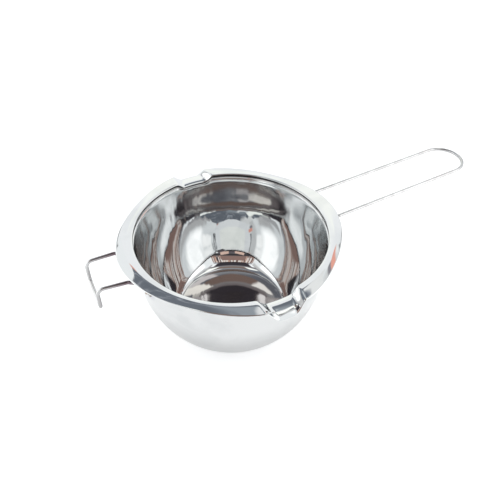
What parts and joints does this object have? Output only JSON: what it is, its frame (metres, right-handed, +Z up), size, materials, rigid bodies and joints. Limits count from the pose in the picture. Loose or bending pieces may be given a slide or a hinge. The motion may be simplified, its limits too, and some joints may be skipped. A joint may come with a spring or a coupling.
{
  "type": "candle melting pot",
  "caption": "Stainless steel pouring pot for melting wax, with a wide spouted rim, a long wire loop handle and a wire hook for the outer pan's edge.",
  "frame": {"origin": "centre of the flat base that the pot stands on, on the bowl's axis", "axes": "+Z up along the bowl's axis, +X towards the handle, the hook on -X and the two spouts on +Y and -Y"},
  "size_m": [0.2728, 0.1468, 0.0781],
  "materials": {
    "polished_sheet": "mirror-polished stainless steel sheet",
    "drawn_wire": "bright drawn stainless steel wire",
    "weld_bead": "dull stainless steel weld"
  },
  "bodies": {
    "root": {"bowl": "polished_sheet", "handle": "drawn_wire", "hook": "drawn_wire", "handle_weld_left": "weld_bead", "handle_weld_right": "weld_bead", "hook_weld_left": "weld_bead", "hook_weld_right": "weld_bead"}
  },
  "joints": []
}
